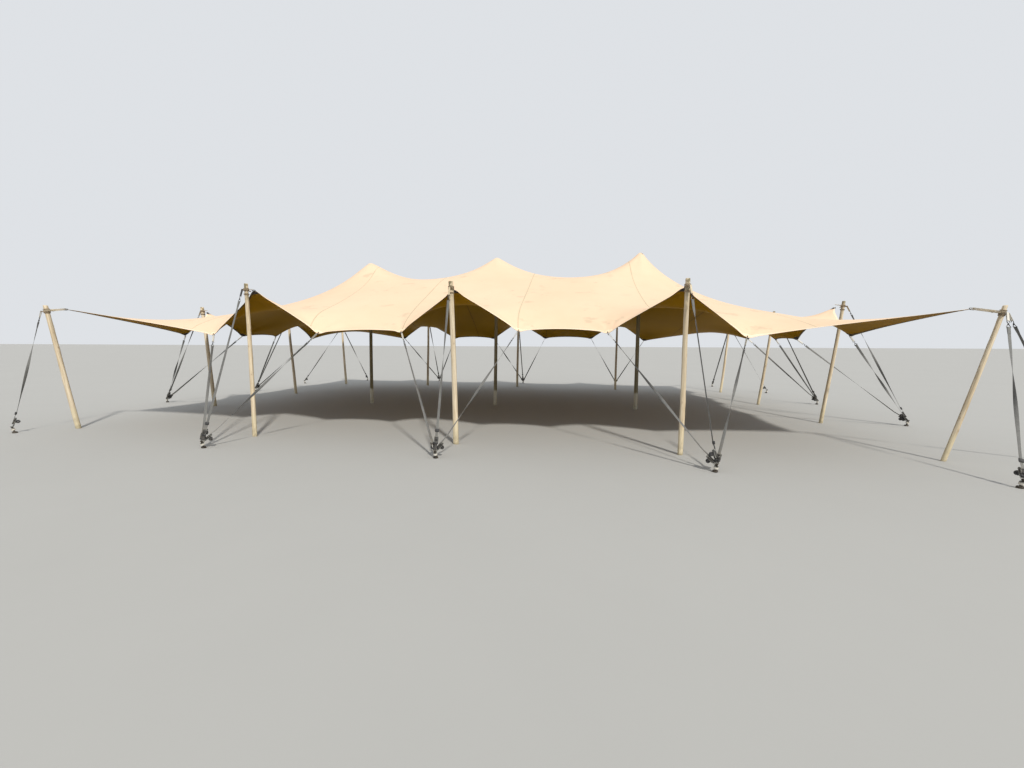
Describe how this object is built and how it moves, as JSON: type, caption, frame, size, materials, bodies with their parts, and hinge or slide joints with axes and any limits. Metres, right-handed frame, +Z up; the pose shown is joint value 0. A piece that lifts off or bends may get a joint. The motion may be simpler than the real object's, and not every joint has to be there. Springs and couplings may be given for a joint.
{
  "type": "stretch tent",
  "caption": "Rectangular stretch tent: one fabric canopy on peaked centre poles and leaning edge poles, strapped down to steel ground pegs, open on all sides.",
  "frame": {"origin": "on the ground, at the centre of the foot of the middle centre pole", "axes": "+X along the long side, to the right seen from the front; +Y from the front edge to the back edge; +Z up"},
  "size_m": [18.5102, 12.1808, 3.9739],
  "materials": {
    "fabric": "matt coated stretch fabric, sand",
    "wood": "debarked round timber, untreated",
    "webbing": "woven polyester webbing, black",
    "steel": "dull zinc-plated steel"
  },
  "bodies": {
    "root": {"canopy": "fabric", "pole_front_left": "wood", "pole_front_1": "wood", "pole_front_2": "wood", "pole_front_3": "wood", "pole_front_right": "wood", "pole_right_1": "wood", "pole_right_2": "wood", "pole_back_right": "wood", "pole_back_3": "wood", "pole_back_2": "wood", "pole_back_1": "wood", "pole_back_left": "wood", "pole_left_2": "wood", "pole_left_1": "wood", "pole_centre_1": "wood", "pole_centre_2": "wood", "pole_centre_3": "wood", "straps_front_left": "webbing", "straps_front_1": "webbing", "straps_front_2": "webbing", "straps_front_3": "webbing", "straps_front_right": "webbing", "straps_right_1": "webbing", "straps_right_2": "webbing", "straps_back_right": "webbing", "straps_back_3": "webbing", "straps_back_2": "webbing", "straps_back_1": "webbing", "straps_back_left": "webbing", "straps_left_2": "webbing", "straps_left_1": "webbing", "peg_front_left": "steel", "peg_front_1": "steel", "peg_front_2": "steel", "peg_front_3": "steel", "peg_front_right_a": "steel", "peg_front_right_b": "steel", "peg_right_1": "steel", "peg_right_2": "steel", "peg_back_right_a": "steel", "peg_back_right_b": "steel", "peg_back_3": "steel", "peg_back_2": "steel", "peg_back_1": "steel", "peg_back_left_a": "steel", "peg_back_left_b": "steel", "peg_left_2": "steel", "peg_left_1": "steel"}
  },
  "joints": []
}
